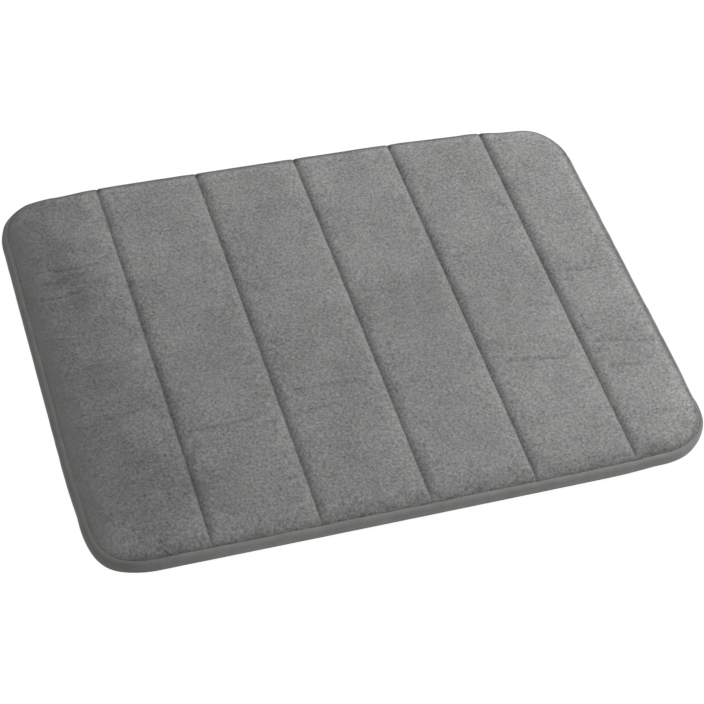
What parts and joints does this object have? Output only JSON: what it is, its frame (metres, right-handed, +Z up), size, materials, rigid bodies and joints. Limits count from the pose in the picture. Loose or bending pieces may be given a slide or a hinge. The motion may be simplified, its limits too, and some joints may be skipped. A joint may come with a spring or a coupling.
{
  "type": "bath mat",
  "caption": "Rectangular padded bath mat with rounded corners and a bound edge, quilted across its width into long pads, folding at each quilting row.",
  "frame": {"origin": "centre of the mat's footprint, on the face that lies on the floor", "axes": "+X along the mat's long side, across the quilting rows; +Y along the quilting rows; +Z up, from the backing to the cover"},
  "size_m": [0.6, 0.45, 0.0165],
  "materials": {
    "fleece_cover": "short velvet pile, matt with a soft sheen",
    "memory_foam": "open-cell foam, matt",
    "backing_cloth": "woven cloth, matt",
    "grip_dots": "soft moulded dots, satin",
    "edge_binding": "fine knitted tape, matt",
    "sewing_thread": "twisted polyester thread"
  },
  "bodies": {
    "panel_1": {"cover_1": "fleece_cover", "foam_pad_1": "memory_foam", "backing_1": "backing_cloth", "edge_binding_1": "edge_binding", "binding_stitch_1": "sewing_thread"},
    "panel_2": {"cover_2": "fleece_cover", "foam_pad_2": "memory_foam", "backing_2": "backing_cloth", "edge_binding_2": "edge_binding", "binding_stitch_2": "sewing_thread", "quilt_thread_1": "sewing_thread"},
    "panel_3": {"cover_3": "fleece_cover", "foam_pad_3": "memory_foam", "backing_3": "backing_cloth", "edge_binding_3": "edge_binding", "binding_stitch_3": "sewing_thread", "quilt_thread_2": "sewing_thread", "quilt_thread_3": "sewing_thread"},
    "panel_4": {"cover_4": "fleece_cover", "foam_pad_4": "memory_foam", "backing_4": "backing_cloth", "edge_binding_4": "edge_binding", "binding_stitch_4": "sewing_thread", "quilt_thread_4": "sewing_thread"},
    "panel_5": {"cover_5": "fleece_cover", "foam_pad_5": "memory_foam", "backing_5": "backing_cloth", "edge_binding_5": "edge_binding", "binding_stitch_5": "sewing_thread", "quilt_thread_5": "sewing_thread"},
    "panel_6": {"cover_6": "fleece_cover", "foam_pad_6": "memory_foam", "backing_6": "backing_cloth", "edge_binding_6": "edge_binding", "binding_stitch_6": "sewing_thread"}
  },
  "joints": [
    {"name": "fold_1", "type": "hinge", "parent": "panel_2", "child": "panel_1", "pos_m": [-0.192, 0, 0.003], "axis": [0, 1, 0], "range_deg": [0, 50], "stiffness_Nm_per_rad": 0.06},
    {"name": "fold_2", "type": "hinge", "parent": "panel_3", "child": "panel_2", "pos_m": [-0.0915, 0, 0.003], "axis": [0, 1, 0], "range_deg": [0, 50], "stiffness_Nm_per_rad": 0.06},
    {"name": "fold_3", "type": "hinge", "parent": "panel_3", "child": "panel_4", "pos_m": [0.012, 0, 0.003], "axis": [0, -1, 0], "range_deg": [0, 50], "stiffness_Nm_per_rad": 0.06},
    {"name": "fold_4", "type": "hinge", "parent": "panel_4", "child": "panel_5", "pos_m": [0.114, 0, 0.003], "axis": [0, -1, 0], "range_deg": [0, 50], "stiffness_Nm_per_rad": 0.06},
    {"name": "fold_5", "type": "hinge", "parent": "panel_5", "child": "panel_6", "pos_m": [0.2145, 0, 0.003], "axis": [0, -1, 0], "range_deg": [0, 50], "stiffness_Nm_per_rad": 0.06}
  ]
}
